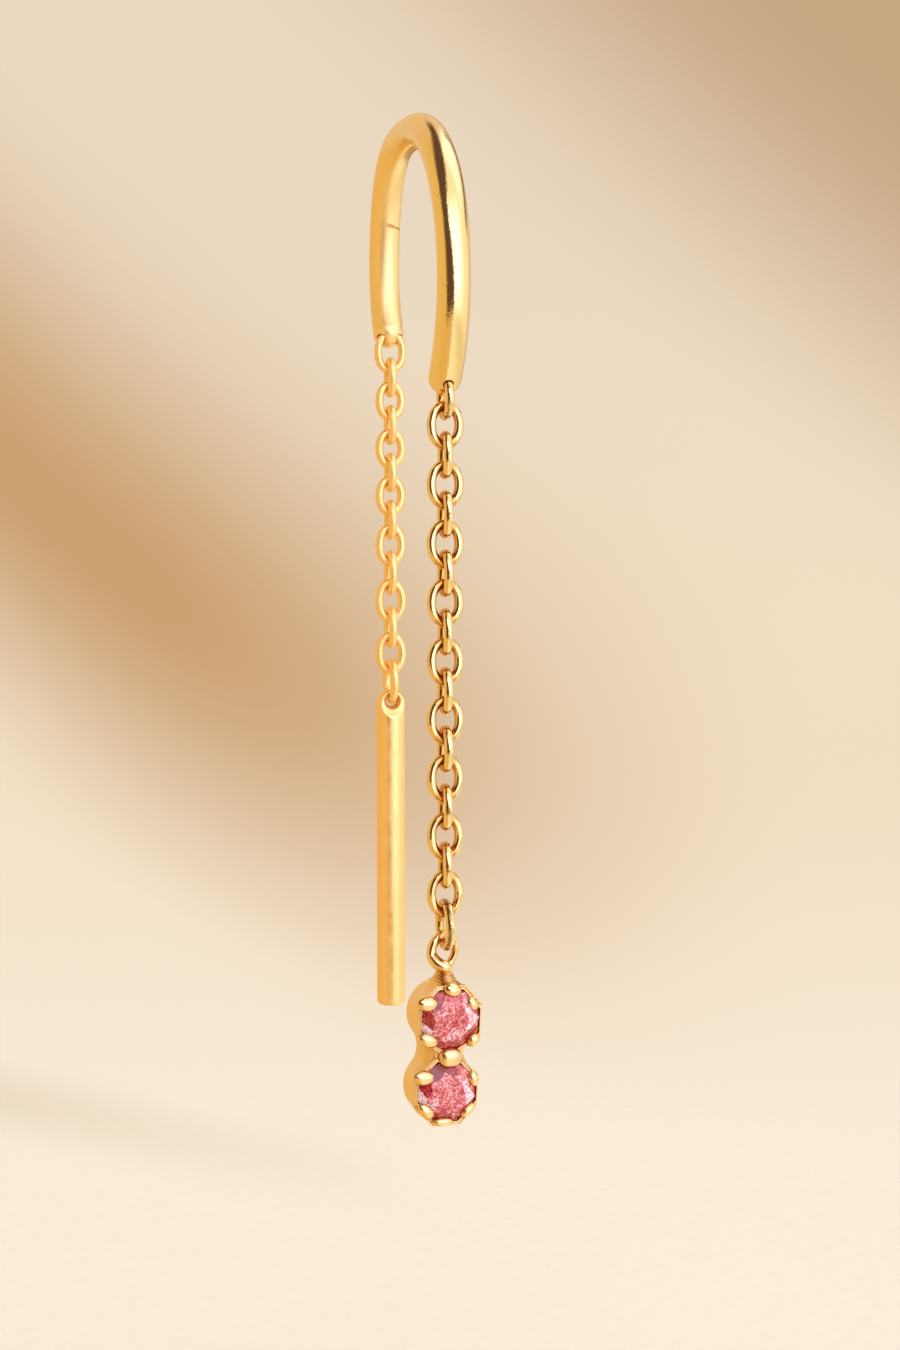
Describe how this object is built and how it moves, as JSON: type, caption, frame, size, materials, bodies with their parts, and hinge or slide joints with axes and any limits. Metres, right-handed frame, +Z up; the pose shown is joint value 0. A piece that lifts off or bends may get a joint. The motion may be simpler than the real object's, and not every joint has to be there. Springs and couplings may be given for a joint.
{
  "type": "chain drop earring",
  "caption": "Threader earring: a bent ear bar with a chain and a two-stone pendant in front, and a chain with a straight bar behind.",
  "frame": {"origin": "on the middle of the ear bar's wire at its highest point, where it passes through the ear lobe", "axes": "+Z up as worn, +Y from the front of the ear to the back, the pendant faces -Y"},
  "size_m": [0.0024, 0.0106, 0.0331],
  "materials": {
    "gold": "polished yellow gold, chain links and rings",
    "gold_bar": "polished yellow gold with a faint lengthwise grain",
    "gold_setting": "satin yellow gold wall, polished prongs and rim",
    "pink_stone": "faceted transparent rose-pink stone"
  },
  "bodies": {
    "hanger": {"ear_bar": "gold_bar", "front_ring": "gold", "front_chain": "gold", "pendant_ring": "gold", "rear_ring": "gold", "rear_chain": "gold", "bar_ring": "gold"},
    "pendant": {"pendant_setting": "gold_setting", "upper_stone": "pink_stone", "lower_stone": "pink_stone"},
    "bar": {"threader_bar": "gold_bar"}
  },
  "joints": [
    {"name": "pendant_swing", "type": "hinge", "parent": "hanger", "child": "pendant", "pos_m": [0, -0.00415, -0.02675], "axis": [0, 1, 0], "range_deg": [-90, 90]},
    {"name": "bar_swing", "type": "hinge", "parent": "hanger", "child": "bar", "pos_m": [0, 0.00342, -0.01955], "axis": [0, 1, 0], "range_deg": [-90, 90]}
  ]
}
